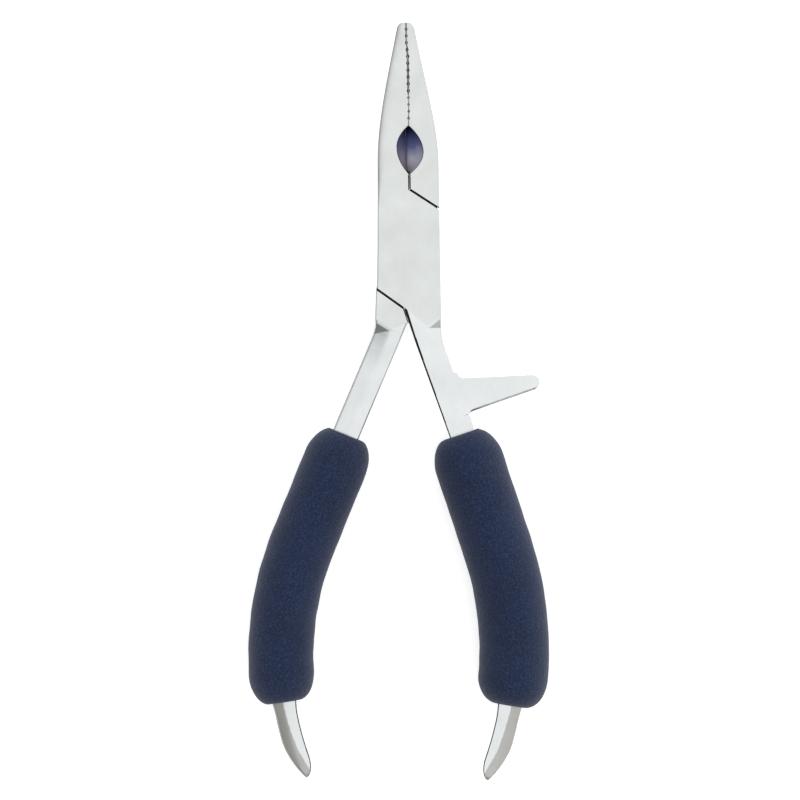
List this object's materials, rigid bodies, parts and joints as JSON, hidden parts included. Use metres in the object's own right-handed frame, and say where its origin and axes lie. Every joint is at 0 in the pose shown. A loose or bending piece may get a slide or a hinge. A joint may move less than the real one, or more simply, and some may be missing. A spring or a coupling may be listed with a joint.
{
  "type": "long-nose fishing pliers",
  "caption": "Slim box-joint pliers with toothed long-nose jaws, a side cutter, foam sleeves on bowed handles and a finger spur.",
  "frame": {"origin": "on the pivot axis, at the back face of the box", "axes": "+Y along the closed slit towards the jaw tips, +Z along the pivot axis out of the front face, +X towards the finger spur"},
  "size_m": [0.0658, 0.1656, 0.0154],
  "materials": {
    "satin_steel": "satin ground",
    "pin_steel": "ground flush",
    "blued_steel": "ground, with a blue and purple heat tint",
    "navy_foam": "matt closed-cell foam"
  },
  "bodies": {
    "box_side": {"box_lever": "satin_steel", "pivot_pin": "pin_steel", "finger_spur": "satin_steel", "cutter_blade_left": "blued_steel", "grip_right": "navy_foam"},
    "tongue_side": {"tongue_lever": "satin_steel", "cutter_blade_right": "blued_steel", "grip_left": "navy_foam"}
  },
  "joints": [
    {"name": "pivot", "type": "hinge", "parent": "box_side", "child": "tongue_side", "pos_m": [0, 0, 0.0035], "axis": [0, 0, -1], "range_deg": [0, 35]}
  ]
}
